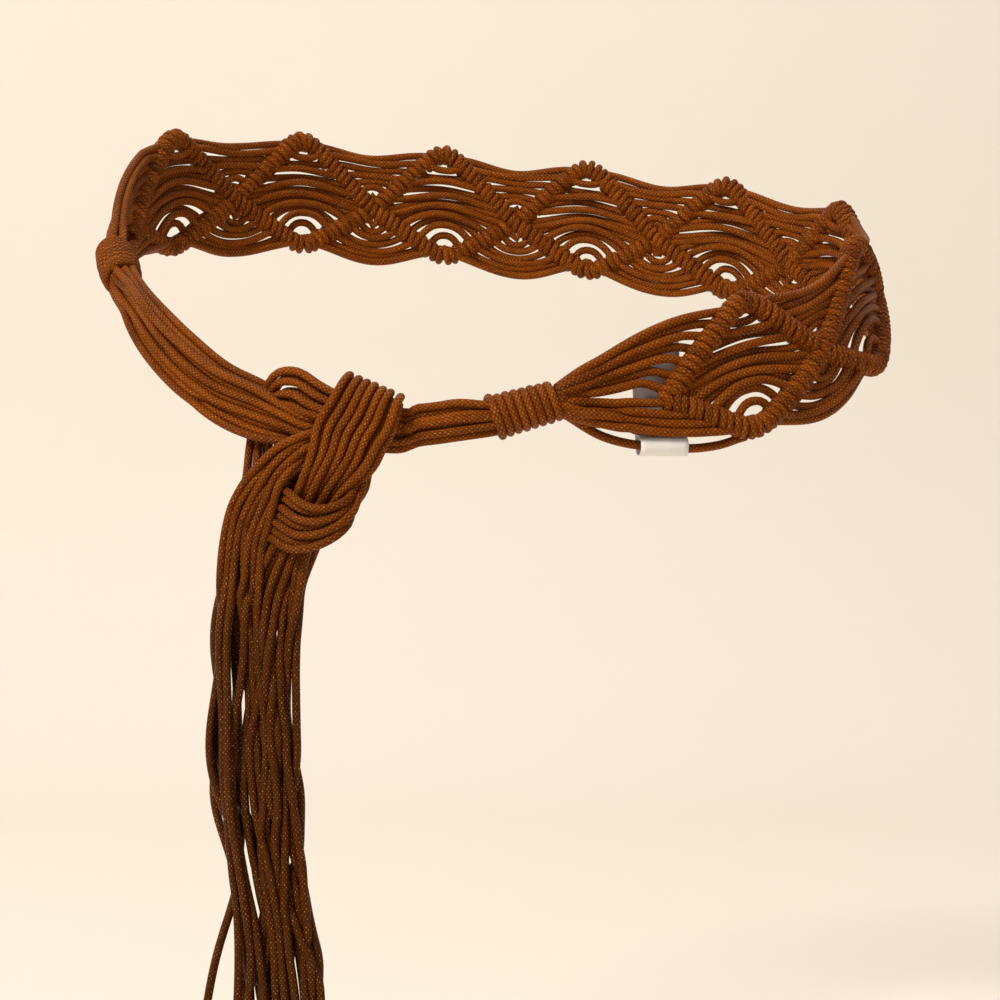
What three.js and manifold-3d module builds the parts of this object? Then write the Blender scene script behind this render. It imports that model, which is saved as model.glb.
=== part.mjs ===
// A macrame belt of waxed cotton cord, shaped as it is worn: slung round the hips and tied in front.
// Two whipped bundles of cord leave an openwork band of knotted bars and loose web cords, meet in a
// soft knot at the wearer's front and hang from it as a long fringe. A blank satin label is folded
// round one slack cord.
// Sizes are in millimetres. +Z is up, -Y is the front and +X is the right-hand side of a front view.
// The origin is the middle of the loop, where the waist passes through.
import * as THREE from "three";
import { mergeVertices } from "three/addons/utils/BufferGeometryUtils.js";
import Module from "manifold-3d";

const wasm = await Module();
wasm.setup();

// Cord and clearances
const CORD_DIAMETER = 2.8; // diameter of every cord
const GAP = 0.3; // left between pieces that touch

// The waist that the loop lies on, an ellipse that flares towards the hips
const WAIST_WIDTH = 272;
const WAIST_DEPTH = 188;
const FLARE_SIDE = 32; // how much further out the hips are at the sides
const FLARE_FRONT = 14; // and at the front
const FLARE_TOP = 40; // height where the flare starts
const FLARE_HEIGHT = 180; // height over which it grows
const SLING_HEIGHT = 52; // how far the back of the loop rides above the origin

// The openwork band
const DIAMONDS = 8;
const BAND_HEIGHT = 51; // over the outer edges of the bars
const BAR_THICKNESS = 8; // thickness of a knotted bar
const BAND_OUT = 4.3; // from the waist to the middle of the band
const CROSSING_DROP = 5; // the crossings hang below the middle of the band
const FIRST_DROP = 8.5; // the first one hangs lower
const FAN_CREST = 1.2; // quarter turns of a fan cord's rise: above 1 it bends back into its bar
const FAN_SLACK = 1; // and of its fall below the middle
const BAND_START = 23.8; // bearing of the first crossing, in degrees from the front
const BAND_END = 262; // bearing of the last one
const STRAP_WIDTH = 6.8; // of a flat strap of web cords that lie side by side

// The whipped wraps
const WRAP_TURNS = 9;
const WRAP_DIAMETER = 15.4;
const RIGHT_WRAP_OUT = 7; // from the waist to its middle
const LEFT_WRAP_OUT = 3.5;
const RIGHT_WRAP_AT = 4.5; // bearing of its middle
const LEFT_WRAP_AT = -73.5;

// The bundles between the wraps and the knot
const RIGHT_BUNDLE_WIDTH = 14.5;
const LEFT_BUNDLE_WIDTH = 17;
const BUNDLE_THICKNESS = 6.6;
const BUNDLE_START = 11; // degrees from the knot's middle to where a bundle runs free
const WAIST_GAP = 6; // from the waist to the middle of a free bundle

// The knot and the fringe
const KNOT_AT = -22; // bearing of its middle
const KNOT_DROP = 9; // from the belt line down to its middle
const KNOT_WIDTH = 60;
const RIBBON_THICKNESS = 5.4; // two layers of cord
const FRINGE_LENGTH = 167; // below the knot
const LOCK_THICKNESS = 7;

// The label
const LABEL_WIDTH = 16.5;
const LABEL_RISE = 36; // from the fold up behind the fan
const LABEL_WALL = 1;
const LABEL_FOLD = 3.7; // outer radius of the fold
const LABEL_AT = 23.6; // bearing of its middle

// Each side of the knot: 1 is to its right in a front view
const RIGHT = {
  side: 1, bearing: RIGHT_WRAP_AT, out: RIGHT_WRAP_OUT, bundleWidth: RIGHT_BUNDLE_WIDTH,
};
const LEFT = {
  side: -1, bearing: LEFT_WRAP_AT, out: LEFT_WRAP_OUT, bundleWidth: LEFT_BUNDLE_WIDTH,
};

// Height of the belt's middle line round the waist, as a share of SLING_HEIGHT. Bearings are in degrees.
const BELT_LINE = [
  { bearing: -104, rise: 0.79 },
  { bearing: -92, rise: 0.57 },
  { bearing: -82, rise: 0.36 },
  { bearing: -72.5, rise: 0.16 },
  { bearing: -64, rise: -0.04 },
  { bearing: -55.5, rise: -0.28 },
  { bearing: -44.5, rise: -0.59 },
  { bearing: -33, rise: -0.88 },
  { bearing: -22, rise: -1.0 },
  { bearing: -12, rise: -0.97 },
  { bearing: 0, rise: -0.94 },
  { bearing: 9, rise: -0.83 },
  { bearing: 23, rise: -0.67 },
  { bearing: 37, rise: -0.58 },
  { bearing: 50.5, rise: -0.39 },
  { bearing: 64, rise: -0.17 },
  { bearing: 72, rise: -0.06 },
  { bearing: 90, rise: 0.15 },
  { bearing: 120, rise: 0.46 },
  { bearing: 150, rise: 0.73 },
  { bearing: 180, rise: 0.91 },
  { bearing: 210, rise: 1.0 },
  { bearing: 235, rise: 0.97 },
  { bearing: 256, rise: 0.79 },
];

// Web cords run side by side in flat straps. Each crosses the bars at a share of the band's half
// height, bends towards the middle inside a diamond and bulges outwards between two diamonds.
const WEB = [
  { atBar: 0.29, inside: 0.2, between: 0.46 },
  { atBar: 0.73, inside: 0.58, between: 0.86 },
];

// The cords of the knot as three flat ribbons, each a list of edges: right, up and out from the
// waist at the knot's middle, in hundredths of KNOT_WIDTH.
const OVER_WRAP = [
  { a: [-7, 20, 14], b: [-7, 8, 14] },
  { a: [7, 20, 9], b: [13, 4, 9] },
  { a: [8, 29, 9], b: [31, 13, 9] },
  { a: [9, 38, 11], b: [41, 24, 11] },
  { a: [11, 42, 18], b: [43, 28, 18] },
  { a: [9, 39, 26], b: [41, 25, 26] },
  { a: [2, 27, 29], b: [38, 11, 28] },
  { a: [-4, 17, 29], b: [34, 3, 28] },
  { a: [-7, 2, 28], b: [26, -8, 26] },
  { a: [-13, -17, 22], b: [12, -21, 22] },
  { a: [-20, -33, 15], b: [3, -32, 15] },
  { a: [-27, -50, 12], b: [-4, -50, 12] },
];
const RIGHT_BUNDLE_END = [{ a: [46, 23, 12], b: [43, 2, 12] }];
const LEFT_BUNDLE_END = [
  { a: [-9, 20, 14], b: [-9, 8, 14] },
  { a: [-20, 28, 14], b: [-23, 7, 14] },
  { a: [-35, 39, 12], b: [-45, 11, 12] },
];
const BEHIND_LOOP = [
  { a: [45, 23, 12], b: [43, 13, 12] },
  { a: [27, 27, 17], b: [25, 17, 17] },
  { a: [12, 30, 19], b: [3, 19, 19] },
  { a: [-2, 38, 19], b: [-11, 21, 19] },
  { a: [-15, 47, 17], b: [-19, 24, 17] },
  { a: [-27, 47, 13], b: [-26, 24, 13] },
  { a: [-35, 38, 7], b: [-28, 18, 7] },
  { a: [-42, 23, 4], b: [-27, 10, 4] },
  { a: [-45, 7, 4], b: [-26, 0, 4] },
  { a: [-47, -13, 7], b: [-27, -13, 5] },
];
const UNDER_LOOP = [
  { a: [43, 13, 12], b: [42, 3, 12] },
  { a: [27, 12, 16], b: [27, 0, 16] },
  { a: [19, -2, 18], b: [25, -8, 18] },
  { a: [21, -14, 22], b: [24, -17, 22] },
  { a: [17, -21, 25], b: [21, -28, 25] },
  { a: [9, -27, 30], b: [13, -41, 28] },
  { a: [0, -29, 33], b: [0, -52, 29] },
  { a: [-10, -27, 31], b: [-15, -56, 28] },
  { a: [-20, -19, 25], b: [-26, -52, 22] },
  { a: [-25, -16, 15], b: [-32, -45, 13] },
  { a: [-20, -10, 5], b: [-23, -32, 5] },
  { a: [-7, -3, 5], b: [-5, -15, 5] },
  { a: [5, -2, 8], b: [5, -12, 8] },
  { a: [8, 0, 15], b: [8, -10, 15] },
  { a: [2, 5, 20], b: [0, -5, 20] },
  { a: [-6, 11, 22], b: [-8, 2, 22] },
  { a: [-15, 9, 24], b: [-15, -6, 24] },
  { a: [-25, 4, 25], b: [-22, -15, 26] },
  { a: [-36, -5, 22], b: [-27, -27, 23] },
  { a: [-46, -15, 19], b: [-30, -41, 20] },
  { a: [-54, -29, 17], b: [-34, -52, 18] },
];

// The cords hidden inside the knot: middle and radii to the right, up and out, in the same units
const KNOT_CORES = [
  { middle: [2, -6, 15], radii: [22, 32, 11] },
  { middle: [-8, 26, 13], radii: [22, 14, 9] },
];

// Edges of the fringe below the knot: drop as a share of FRINGE_LENGTH, and the left edge, the slit
// between the front and rear locks and the right edge in hundredths of KNOT_WIDTH.
const FRINGE = [
  { drop: 0.11, left: -61, slit: -35, right: -10 },
  { drop: 0.3, left: -64, slit: -34, right: -15 },
  { drop: 0.46, left: -64, slit: -32, right: -13 },
  { drop: 0.6, left: -56, slit: -29, right: -10 },
  { drop: 0.74, left: -51, slit: -25, right: -6 },
  { drop: 0.9, left: -50, slit: -23, right: -2 },
  { drop: 1.0, left: -51, slit: -22, right: -1 },
];
const FRINGE_TOP = -50; // up from the knot's middle
const SLIT = 1; // from the slit's middle to the locks beside it
const FRONT_LOCKS_TOP = { a: [-55, -31, 18], b: [-35, -54, 18] };
const REAR_LOCKS_TOP = { a: [-27, -52, 12], b: [-4, -52, 12] };

// The slack cord below the fan: bearings in degrees, and how far it lies below the belt's middle
// line as a share of BAND_HEIGHT.
const SLACK_CORD = [
  { bearing: 11, below: 0.13 },
  { bearing: 15, below: 0.26 },
  { bearing: 19.5, below: 0.39 },
  { bearing: 23.6, below: 0.46 },
  { bearing: 27.5, below: 0.5 },
  { bearing: 32, below: 0.5 },
  { bearing: 35, below: 0.48 },
];

// A smooth curve through one column of a table
function column(rows, key, value) {
  const curve = new THREE.CubicInterpolant(
    rows.map((row) => row[key]),
    rows.map((row) => row[value]),
    1,
  );
  return (at) => curve.evaluate(at)[0];
}

// The waist as a curve from the front round by +X and the back
const waist = new THREE.EllipseCurve(
  0, 0, WAIST_WIDTH / 2, WAIST_DEPTH / 2, -Math.PI / 2, 1.5 * Math.PI,
);
waist.arcLengthDivisions = 720;
const lineRise = column(BELT_LINE, "bearing", "rise");
const FIRST_BEARING = BELT_LINE[0].bearing;

function wrapBearing(bearing) {
  return FIRST_BEARING + THREE.MathUtils.euclideanModulo(bearing - FIRST_BEARING, 360);
}

function lineHeight(bearing) {
  return SLING_HEIGHT * lineRise(wrapBearing(bearing));
}

// Distance round the waist from the front, and the bearing at a distance
function arcAt(bearing) {
  const turns = Math.floor(bearing / 360);
  const lengths = waist.getLengths();
  const at = (bearing / 360 - turns) * (lengths.length - 1);
  const low = Math.min(Math.floor(at), lengths.length - 2);
  const share = THREE.MathUtils.lerp(lengths[low], lengths[low + 1], at - low);
  return turns * waist.getLength() + share;
}

function bearingAt(arc) {
  const turns = Math.floor(arc / waist.getLength());
  return 360 * (turns + waist.getUtoTmapping(arc / waist.getLength() - turns));
}

// The point on the waist's surface at a bearing and height, moved straight out by a distance
function onHip(bearing, height, out) {
  const angle = THREE.MathUtils.degToRad(bearing - 90);
  const onWaist = new THREE.Vector2(
    (WAIST_WIDTH / 2) * Math.cos(angle),
    (WAIST_DEPTH / 2) * Math.sin(angle),
  );
  const outward = new THREE.Vector2(
    Math.cos(angle) / WAIST_WIDTH,
    Math.sin(angle) / WAIST_DEPTH,
  ).normalize();
  const side = Math.cos(angle) ** 2;
  const flare =
    THREE.MathUtils.lerp(FLARE_FRONT, FLARE_SIDE, side) *
    THREE.MathUtils.smoothstep(FLARE_TOP - height, 0, FLARE_HEIGHT);
  onWaist.addScaledVector(outward, out + flare);
  return new THREE.Vector3(onWaist.x, onWaist.y, height);
}

// A point of the belt: distance round the waist, distance above its middle line, distance out
function onBelt(arc, across, out) {
  const bearing = bearingAt(arc);
  return onHip(bearing, lineHeight(bearing) + across, out);
}

function solid(geometry) {
  const bare = new THREE.BufferGeometry();
  bare.setAttribute("position", geometry.getAttribute("position"));
  bare.setIndex(geometry.getIndex());
  const merged = mergeVertices(bare, 1e-4);
  return new wasm.Manifold(
    new wasm.Mesh({
      numProp: 3,
      vertProperties: new Float32Array(merged.getAttribute("position").array),
      triVerts: new Uint32Array(merged.getIndex().array),
    }),
  );
}

function largest(shape) {
  return shape.decompose().sort((p, q) => q.volume() - p.volume())[0];
}

function join(shapes) {
  return shapes.reduce((whole, shape) => whole.add(shape));
}

// A cylinder bent along a path. place(u, angle) gives the point of the wall at a share u of the
// path's length and an angle round it. middle(u) gives the path itself, for the two ends.
function bentCylinder(sides, steps, place, middle) {
  const geometry = new THREE.CylinderGeometry(1, 1, 1, sides, steps);
  const position = geometry.getAttribute("position");
  const corner = new THREE.Vector3();
  for (let i = 0; i < position.count; i++) {
    corner.fromBufferAttribute(position, i);
    const u = 0.5 - corner.y;
    const onAxis = Math.hypot(corner.x, corner.z) < 0.5;
    const point = onAxis ? middle(u) : place(u, Math.atan2(corner.z, corner.x));
    position.setXYZ(i, point.x, point.y, point.z);
  }
  const shape = solid(geometry);
  if (shape.volume() > 0) return shape;
  const index = geometry.getIndex();
  for (let i = 0; i < index.count; i += 3) {
    const first = index.getX(i);
    index.setX(i, index.getX(i + 1));
    index.setX(i + 1, first);
  }
  return solid(geometry);
}

// A rounded flat section swept along path(u). across(u) points along its width.
function sweep({ path, across, width, thickness, sides, steps }) {
  const STEP = 1e-3;
  const turn = sides === 4 ? Math.PI / 4 : 0; // a four-sided section lies flat
  const reach = 0.5 / Math.cos(turn);
  const place = (u, angle) => {
    const ahead = path(Math.min(u + STEP, 1));
    const tangent = ahead.sub(path(Math.max(u - STEP, 0))).normalize();
    const flat = across(u);
    const side = flat.addScaledVector(tangent, -flat.dot(tangent)).normalize();
    const normal = new THREE.Vector3().crossVectors(tangent, side);
    return path(u)
      .addScaledVector(side, reach * width(u) * Math.cos(angle + turn))
      .addScaledVector(normal, reach * thickness(u) * Math.sin(angle + turn));
  };
  return bentCylinder(sides, steps, place, path);
}

const UP = new THREE.Vector3(0, 0, 1);
const bandStart = arcAt(BAND_START);
const bandLength = arcAt(BAND_END) - bandStart;
const cell = bandLength / DIAMONDS;
const halfHeight = (BAND_HEIGHT - BAR_THICKNESS) / 2; // to the middle of a bar at its turn

// Share of the half height that a bar has reached: 0 at a crossing and 1 at a turn, with round turns
function barShare(cells) {
  const ROUNDING = 0.14;
  const toTurn = Math.abs(cells - Math.floor(cells) - 0.5) * 2;
  return (1 - Math.sqrt(toTurn ** 2 + ROUNDING ** 2)) / (1 - ROUNDING);
}

function dropAt(cells) {
  const fromEnd = Math.min(cells, DIAMONDS - cells);
  return THREE.MathUtils.lerp(FIRST_DROP, CROSSING_DROP, Math.min(fromEnd, 1));
}

// The bars are two zigzags, mirrored, that cross at the middle of the band
function zigzag(side, grow) {
  const path = (u) => {
    const cells = u * DIAMONDS;
    const turned = Math.floor(cells) % 2 ? -side : side;
    const share = Math.max(barShare(cells), 0);
    const drop = dropAt(cells) * (1 - share);
    return onBelt(bandStart + u * bandLength, turned * halfHeight * share - drop, BAND_OUT);
  };
  const thick = () => BAR_THICKNESS + 2 * grow;
  return sweep({
    path, across: () => UP.clone(), width: thick, thickness: thick, sides: 6, steps: 6 * DIAMONDS,
  });
}

// One strap of web cords along the whole band, above (1) or below (-1) its middle
function webStrap(row, side) {
  const path = (u) => {
    const cells = THREE.MathUtils.lerp(row.atBar / 2, DIAMONDS - row.atBar / 2, u);
    const fromCrossing = Math.abs(cells - Math.round(cells)) * 2; // 0 at a crossing, 1 at a turn
    const bend =
      fromCrossing < row.atBar
        ? THREE.MathUtils.lerp(
            row.between, row.atBar, (fromCrossing / row.atBar) ** 2,
          )
        : THREE.MathUtils.lerp(
            row.inside, row.atBar, ((1 - fromCrossing) / (1 - row.atBar)) ** 2,
          );
    const across = side * halfHeight * bend - dropAt(cells) * (1 - fromCrossing);
    return onBelt(bandStart + cells * cell, across, BAND_OUT);
  };
  return sweep({
    path,
    across: () => UP.clone(),
    width: () => STRAP_WIDTH,
    thickness: () => CORD_DIAMETER,
    sides: 4,
    steps: 4 * DIAMONDS,
  });
}

function bars(grow) {
  return join([zigzag(1, grow), zigzag(-1, grow)]);
}

function band() {
  const straps = WEB.flatMap((row) => [webStrap(row, 1), webStrap(row, -1)]);
  return largest(join([bars(0), ...straps]));
}

// A wrap's axis: its middle on the belt line and its direction along the belt
const wrapLength = WRAP_TURNS * CORD_DIAMETER;
function wrapAxis({ bearing, out }) {
  const arc = arcAt(bearing);
  const middle = onBelt(arc, 0, out);
  const direction = onBelt(arc + 1, 0, out).sub(onBelt(arc - 1, 0, out)).normalize();
  return { middle, direction };
}

function wrapEnd(place, side, beyond) {
  const { middle, direction } = wrapAxis(place);
  return middle.clone().addScaledVector(direction, side * (wrapLength / 2 + beyond));
}

// The wrap is turned about its axis: rounded turns outside, a plain bore inside
const boreRadius = WRAP_DIAMETER / 2 - CORD_DIAMETER;
function wrap(place, name) {
  const GROOVE = 0.35; // depth of the groove between two turns, as a share of the cord
  const groove = WRAP_DIAMETER / 2 - GROOVE * CORD_DIAMETER;
  const profile = [new THREE.Vector2(boreRadius, 0)];
  for (let turn = 0; turn < WRAP_TURNS; turn++) {
    profile.push(new THREE.Vector2(groove, turn * CORD_DIAMETER));
    profile.push(new THREE.Vector2(WRAP_DIAMETER / 2, (turn + 0.5) * CORD_DIAMETER));
  }
  profile.push(new THREE.Vector2(groove, wrapLength));
  profile.push(new THREE.Vector2(boreRadius, wrapLength), profile[0].clone());
  const geometry = new THREE.LatheGeometry(profile, 10);
  geometry.translate(0, -wrapLength / 2, 0);
  const { middle, direction } = wrapAxis(place);
  const mesh = new THREE.Mesh(geometry, cordMaterial);
  mesh.name = name;
  mesh.position.copy(middle);
  mesh.quaternion.setFromUnitVectors(new THREE.Vector3(0, 1, 0), direction);
  return mesh;
}

// The knot's own frame: right, up and out from the waist behind its middle
const knotHeight = lineHeight(KNOT_AT) - KNOT_DROP;
const knotBack = onHip(KNOT_AT, knotHeight, 0);
const knotReach = knotBack.x / Math.sin(THREE.MathUtils.degToRad(KNOT_AT));

function onKnot([right, up, out]) {
  const unit = KNOT_WIDTH / 100;
  const x = knotBack.x + right * unit;
  const height = knotHeight + up * unit;
  const bearing = THREE.MathUtils.radToDeg(
    Math.asin(THREE.MathUtils.clamp(x / knotReach, -1, 1)),
  );
  return new THREE.Vector3(x, onHip(bearing, height, 0).y - out * unit, height);
}

// A flat ribbon of cords between two edges, ribbed on both faces
function ribbon(rows, steps, { grow = 0, ridges = 2, thickness = RIBBON_THICKNESS } = {}) {
  const edge = (key) => new THREE.CatmullRomCurve3(rows.map((row) => row[key]));
  const [first, second] = [edge("a"), edge("b")];
  const middle = (u) => first.getPoint(u).lerp(second.getPoint(u), 0.5);
  const VALLEY = 0.72; // thickness at a valley between two ridges
  const STEP = 0.01;
  const columns = 2 * ridges;
  const place = (u, angle) => {
    const [from, to] = [first.getPoint(u), second.getPoint(u)];
    const side = to.clone().sub(from).normalize();
    from.addScaledVector(side, -grow);
    to.addScaledVector(side, grow);
    const tangent = middle(Math.min(u + STEP, 1)).sub(middle(Math.max(u - STEP, 0))).normalize();
    const normal = new THREE.Vector3().crossVectors(tangent, side).normalize();
    const turned = THREE.MathUtils.euclideanModulo(angle, 2 * Math.PI);
    const turn = Math.round((turned / Math.PI) * columns);
    const face = turn < columns ? 1 : -1;
    const at = face > 0 ? turn : 2 * columns - turn;
    const isEnd = turn % columns === 0;
    const ridge = isEnd ? 0 : at % 2 ? 1 : VALLEY;
    return from
      .lerp(to, at / columns)
      .addScaledVector(normal, face * ridge * (thickness / 2 + grow));
  };
  return bentCylinder(2 * columns, steps, place, middle);
}

function knotRibbon(rows, steps, grow) {
  return ribbon(
    rows.map(({ a, b }) => ({ a: onKnot(a), b: onKnot(b) })), steps, { grow },
  );
}

// A rounded mass of the cords that lie hidden inside the knot
function knotCore({ middle, radii }, grow) {
  const geometry = new THREE.SphereGeometry(1, 12, 8);
  const [right, up, out] = radii.map((radius) => (radius * KNOT_WIDTH) / 100 + grow);
  const { x, y, z } = onKnot(middle);
  geometry.scale(right, out, up);
  geometry.translate(x, y, z);
  return solid(geometry);
}

function knot(grow) {
  return join([
    ...KNOT_CORES.map((core) => knotCore(core, grow)),
    knotRibbon(OVER_WRAP, 17, grow),
    knotRibbon(BEHIND_LOOP, 14, grow),
    knotRibbon(UNDER_LOOP, 26, grow),
  ]);
}

// A bundle of parallel cords from the knot to its wrap and on through the wrap's bore
function bundle(place, knotEdges) {
  const { side, out } = place;
  const coreHalf = boreRadius * 0.85 - GAP;
  const across = (point, ahead, half) => {
    const lift = UP.clone().addScaledVector(ahead, -UP.dot(ahead)).normalize();
    return {
      a: point.clone().addScaledVector(lift, half),
      b: point.clone().addScaledVector(lift, -half),
    };
  };
  const mouth = arcAt(place.bearing) - side * (wrapLength / 2 + 3 * CORD_DIAMETER);
  const start = arcAt(KNOT_AT + side * BUNDLE_START);
  const free = [0.25, 0.5, 0.75, 1].map((share) => {
    const arc = THREE.MathUtils.lerp(start, mouth, share);
    const point = onBelt(arc, 0, THREE.MathUtils.lerp(WAIST_GAP, out, share));
    const ahead = onBelt(arc + side, 0, out).sub(onBelt(arc - side, 0, out)).normalize();
    return across(point, ahead, (place.bundleWidth / 2) * (1 - 0.35 * share ** 3));
  });
  const { direction } = wrapAxis(place);
  const core = [-1, -0.5, 0.5, 1].map((share) => {
    const beyond = Math.abs(share) === 1 ? -4 * GAP : -wrapLength / 4;
    return across(wrapEnd(place, side * Math.sign(share), beyond), direction, coreHalf);
  });
  const rows = [...knotEdges.map(({ a, b }) => ({ a: onKnot(a), b: onKnot(b) })), ...free, ...core];
  return ribbon(rows, 14, { thickness: BUNDLE_THICKNESS });
}

// The fan between a wrap and the first bars: straps of cords that spread to their places on the bars
function fan(place) {
  const { side, out: wrapOut } = place;
  const bandEnd = side > 0 ? bandStart : bandStart + bandLength;
  const quarters = (u, turns) =>
    Math.sin((u * turns * Math.PI) / 2) / Math.sin((turns * Math.PI) / 2);
  const wrapArc = arcAt(side > 0 ? place.bearing : place.bearing + 360);
  const wrapMouth = wrapArc + side * (wrapLength / 2 + 2 * CORD_DIAMETER);
  const strap = (row, half) => {
    const along = bandEnd + (side * row.atBar * cell) / 2;
    const spread = half * row.atBar;
    const height = halfHeight * spread - FIRST_DROP * (1 - row.atBar);
    const path = (u) => {
      const rise = quarters(u, half > 0 ? FAN_CREST : FAN_SLACK);
      const across = THREE.MathUtils.lerp(boreRadius * spread, height, rise);
      const out = THREE.MathUtils.lerp(wrapOut, BAND_OUT, Math.min(2 * u, 1));
      return onBelt(THREE.MathUtils.lerp(wrapMouth, along, u), across, out);
    };
    return sweep({
      path,
      across: () => UP.clone(),
      width: () => STRAP_WIDTH,
      thickness: () => CORD_DIAMETER,
      sides: 4,
      steps: 6,
    });
  };
  const neck = sweep({
    path: (u) => wrapEnd(place, side, 2 * GAP + u * 3 * CORD_DIAMETER),
    across: () => UP.clone(),
    width: (u) => 2 * boreRadius * (1 + 0.35 * u),
    thickness: () => 2 * boreRadius * 0.8,
    sides: 8,
    steps: 1,
  });
  const straps = WEB.flatMap((row) => [strap(row, 1), strap(row, -1)]);
  return join([neck, ...straps]);
}

// The slack cord, round, from the fan's neck to the first lower turn of the bars
const SLACK_OUT = BAND_OUT - BAR_THICKNESS / 2 - 3 * GAP - 2 * LABEL_WALL + LABEL_FOLD;
const slackBelow = column(SLACK_CORD, "bearing", "below");
function onSlackCord(bearing) {
  return onHip(bearing, lineHeight(bearing) - BAND_HEIGHT * slackBelow(bearing), SLACK_OUT);
}

function slackCord() {
  const path = new THREE.CatmullRomCurve3(SLACK_CORD.map(({ bearing }) => onSlackCord(bearing)));
  return sweep({
    path: (u) => path.getPoint(u),
    across: () => UP.clone(),
    width: () => CORD_DIAMETER,
    thickness: () => CORD_DIAMETER,
    sides: 8,
    steps: 14,
  });
}

// The label's folded section, extruded along the slack cord
function label() {
  const inner = LABEL_FOLD - LABEL_WALL;
  const leafGap = GAP;
  const back = -LABEL_FOLD;
  const front = back + 2 * LABEL_WALL + leafGap;
  const section = new THREE.Shape();
  section.moveTo(back, LABEL_RISE);
  section.lineTo(back, 0);
  section.absarc(0, 0, LABEL_FOLD, Math.PI, 2.2 * Math.PI, false);
  section.lineTo(front, LABEL_FOLD * 1.6);
  section.lineTo(front, LABEL_RISE);
  section.lineTo(front - LABEL_WALL, LABEL_RISE);
  section.lineTo(front - LABEL_WALL, LABEL_FOLD * 1.4);
  section.absarc(0, 0, inner, 2.2 * Math.PI, Math.PI, true);
  section.lineTo(back + LABEL_WALL, LABEL_RISE);
  const geometry = new THREE.ExtrudeGeometry(section, {
    depth: LABEL_WIDTH, bevelEnabled: false, curveSegments: 8,
  });
  geometry.translate(0, 0, -LABEL_WIDTH / 2);
  const middle = onSlackCord(LABEL_AT);
  const along = onSlackCord(LABEL_AT + 1).sub(onSlackCord(LABEL_AT - 1)).normalize();
  const upwards = onHip(LABEL_AT, middle.z + LABEL_RISE, SLACK_OUT).sub(middle).normalize();
  const level = new THREE.Vector3(along.x, along.y, 0).normalize();
  level.addScaledVector(upwards, -level.dot(upwards)).normalize();
  const outward = new THREE.Vector3().crossVectors(level, upwards);
  geometry.applyMatrix4(new THREE.Matrix4().makeBasis(outward, upwards, level.negate()));
  geometry.translate(middle.x, middle.y, middle.z);
  return geometry;
}

// One group of the fringe's locks, from its top at the knot down to the tips
function fringe(top, left, right) {
  const { a, b } = top;
  const rows = FRINGE.map((row) => {
    const up = FRINGE_TOP - (row.drop * FRINGE_LENGTH * 100) / KNOT_WIDTH;
    const leftEdge = row[left] + (left === "slit" ? SLIT : 0);
    const rightEdge = row[right] - (right === "slit" ? SLIT : 0);
    return { a: onKnot([leftEdge, up, a[2]]), b: onKnot([rightEdge, up, b[2]]) };
  });
  return ribbon([{ a: onKnot(a), b: onKnot(b) }, ...rows], 11, {
    ridges: 3, thickness: LOCK_THICKNESS,
  });
}

const cordMaterial = new THREE.MeshStandardMaterial({
  color: 0x8f4f16, roughness: 0.55, metalness: 0,
});
const satinMaterial = new THREE.MeshStandardMaterial({
  color: 0xe9e7e4, roughness: 0.35, metalness: 0,
});

const belt = new THREE.Group();
function add(name, shape, material = cordMaterial) {
  const made = shape.getMesh();
  const corners = new Float32Array(made.numVert * 3);
  for (let i = 0; i < made.numVert; i++) {
    corners.set(made.vertProperties.subarray(i * made.numProp, i * made.numProp + 3), i * 3);
  }
  const geometry = new THREE.BufferGeometry();
  geometry.setAttribute("position", new THREE.BufferAttribute(corners, 3));
  geometry.setIndex(new THREE.BufferAttribute(made.triVerts, 1));
  const mesh = new THREE.Mesh(geometry, material);
  mesh.name = name;
  belt.add(mesh);
}

const knotRoom = knot(GAP);
const barRoom = bars(GAP);
add("openwork_band", band());
add("fan_right", largest(fan(RIGHT).subtract(barRoom)));
add("fan_left", largest(fan(LEFT).subtract(barRoom)));
add("bundle_right", largest(bundle(RIGHT, RIGHT_BUNDLE_END).subtract(knotRoom)));
add("bundle_left", largest(bundle(LEFT, LEFT_BUNDLE_END).subtract(knotRoom)));
add("knot", knot(0));
add("fringe_front", fringe(FRONT_LOCKS_TOP, "left", "slit"));
add("fringe_rear", fringe(REAR_LOCKS_TOP, "slit", "right"));
add("slack_cord", largest(slackCord().subtract(barRoom).subtract(fan(RIGHT))));
belt.add(wrap(RIGHT, "wrap_right"), wrap(LEFT, "wrap_left"));
const labelMesh = new THREE.Mesh(label(), satinMaterial);
labelMesh.name = "label";
belt.add(labelMesh);
export default belt;
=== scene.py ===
"""A waxed cotton sash belt, shaped as worn: every cord, knotted bar, wrap and fringe strand."""
import math

import bmesh
import bpy
import numpy as np
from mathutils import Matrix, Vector


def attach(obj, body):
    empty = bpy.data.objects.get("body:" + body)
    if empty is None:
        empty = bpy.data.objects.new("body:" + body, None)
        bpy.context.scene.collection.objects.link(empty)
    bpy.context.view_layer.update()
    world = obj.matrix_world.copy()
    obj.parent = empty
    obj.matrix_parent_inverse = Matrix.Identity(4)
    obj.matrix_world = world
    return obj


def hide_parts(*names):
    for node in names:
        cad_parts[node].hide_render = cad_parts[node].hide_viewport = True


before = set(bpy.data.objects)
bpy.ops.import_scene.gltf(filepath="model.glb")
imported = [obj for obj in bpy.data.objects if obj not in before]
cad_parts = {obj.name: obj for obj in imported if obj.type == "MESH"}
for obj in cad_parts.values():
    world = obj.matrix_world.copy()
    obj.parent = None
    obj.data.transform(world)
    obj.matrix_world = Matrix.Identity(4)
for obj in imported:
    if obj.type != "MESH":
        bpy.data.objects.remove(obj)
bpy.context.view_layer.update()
rng = np.random.default_rng(11)
scene = bpy.context.scene
MM = 0.001
FAR = 1e3  # keeps a cord from being compared with itself

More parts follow.
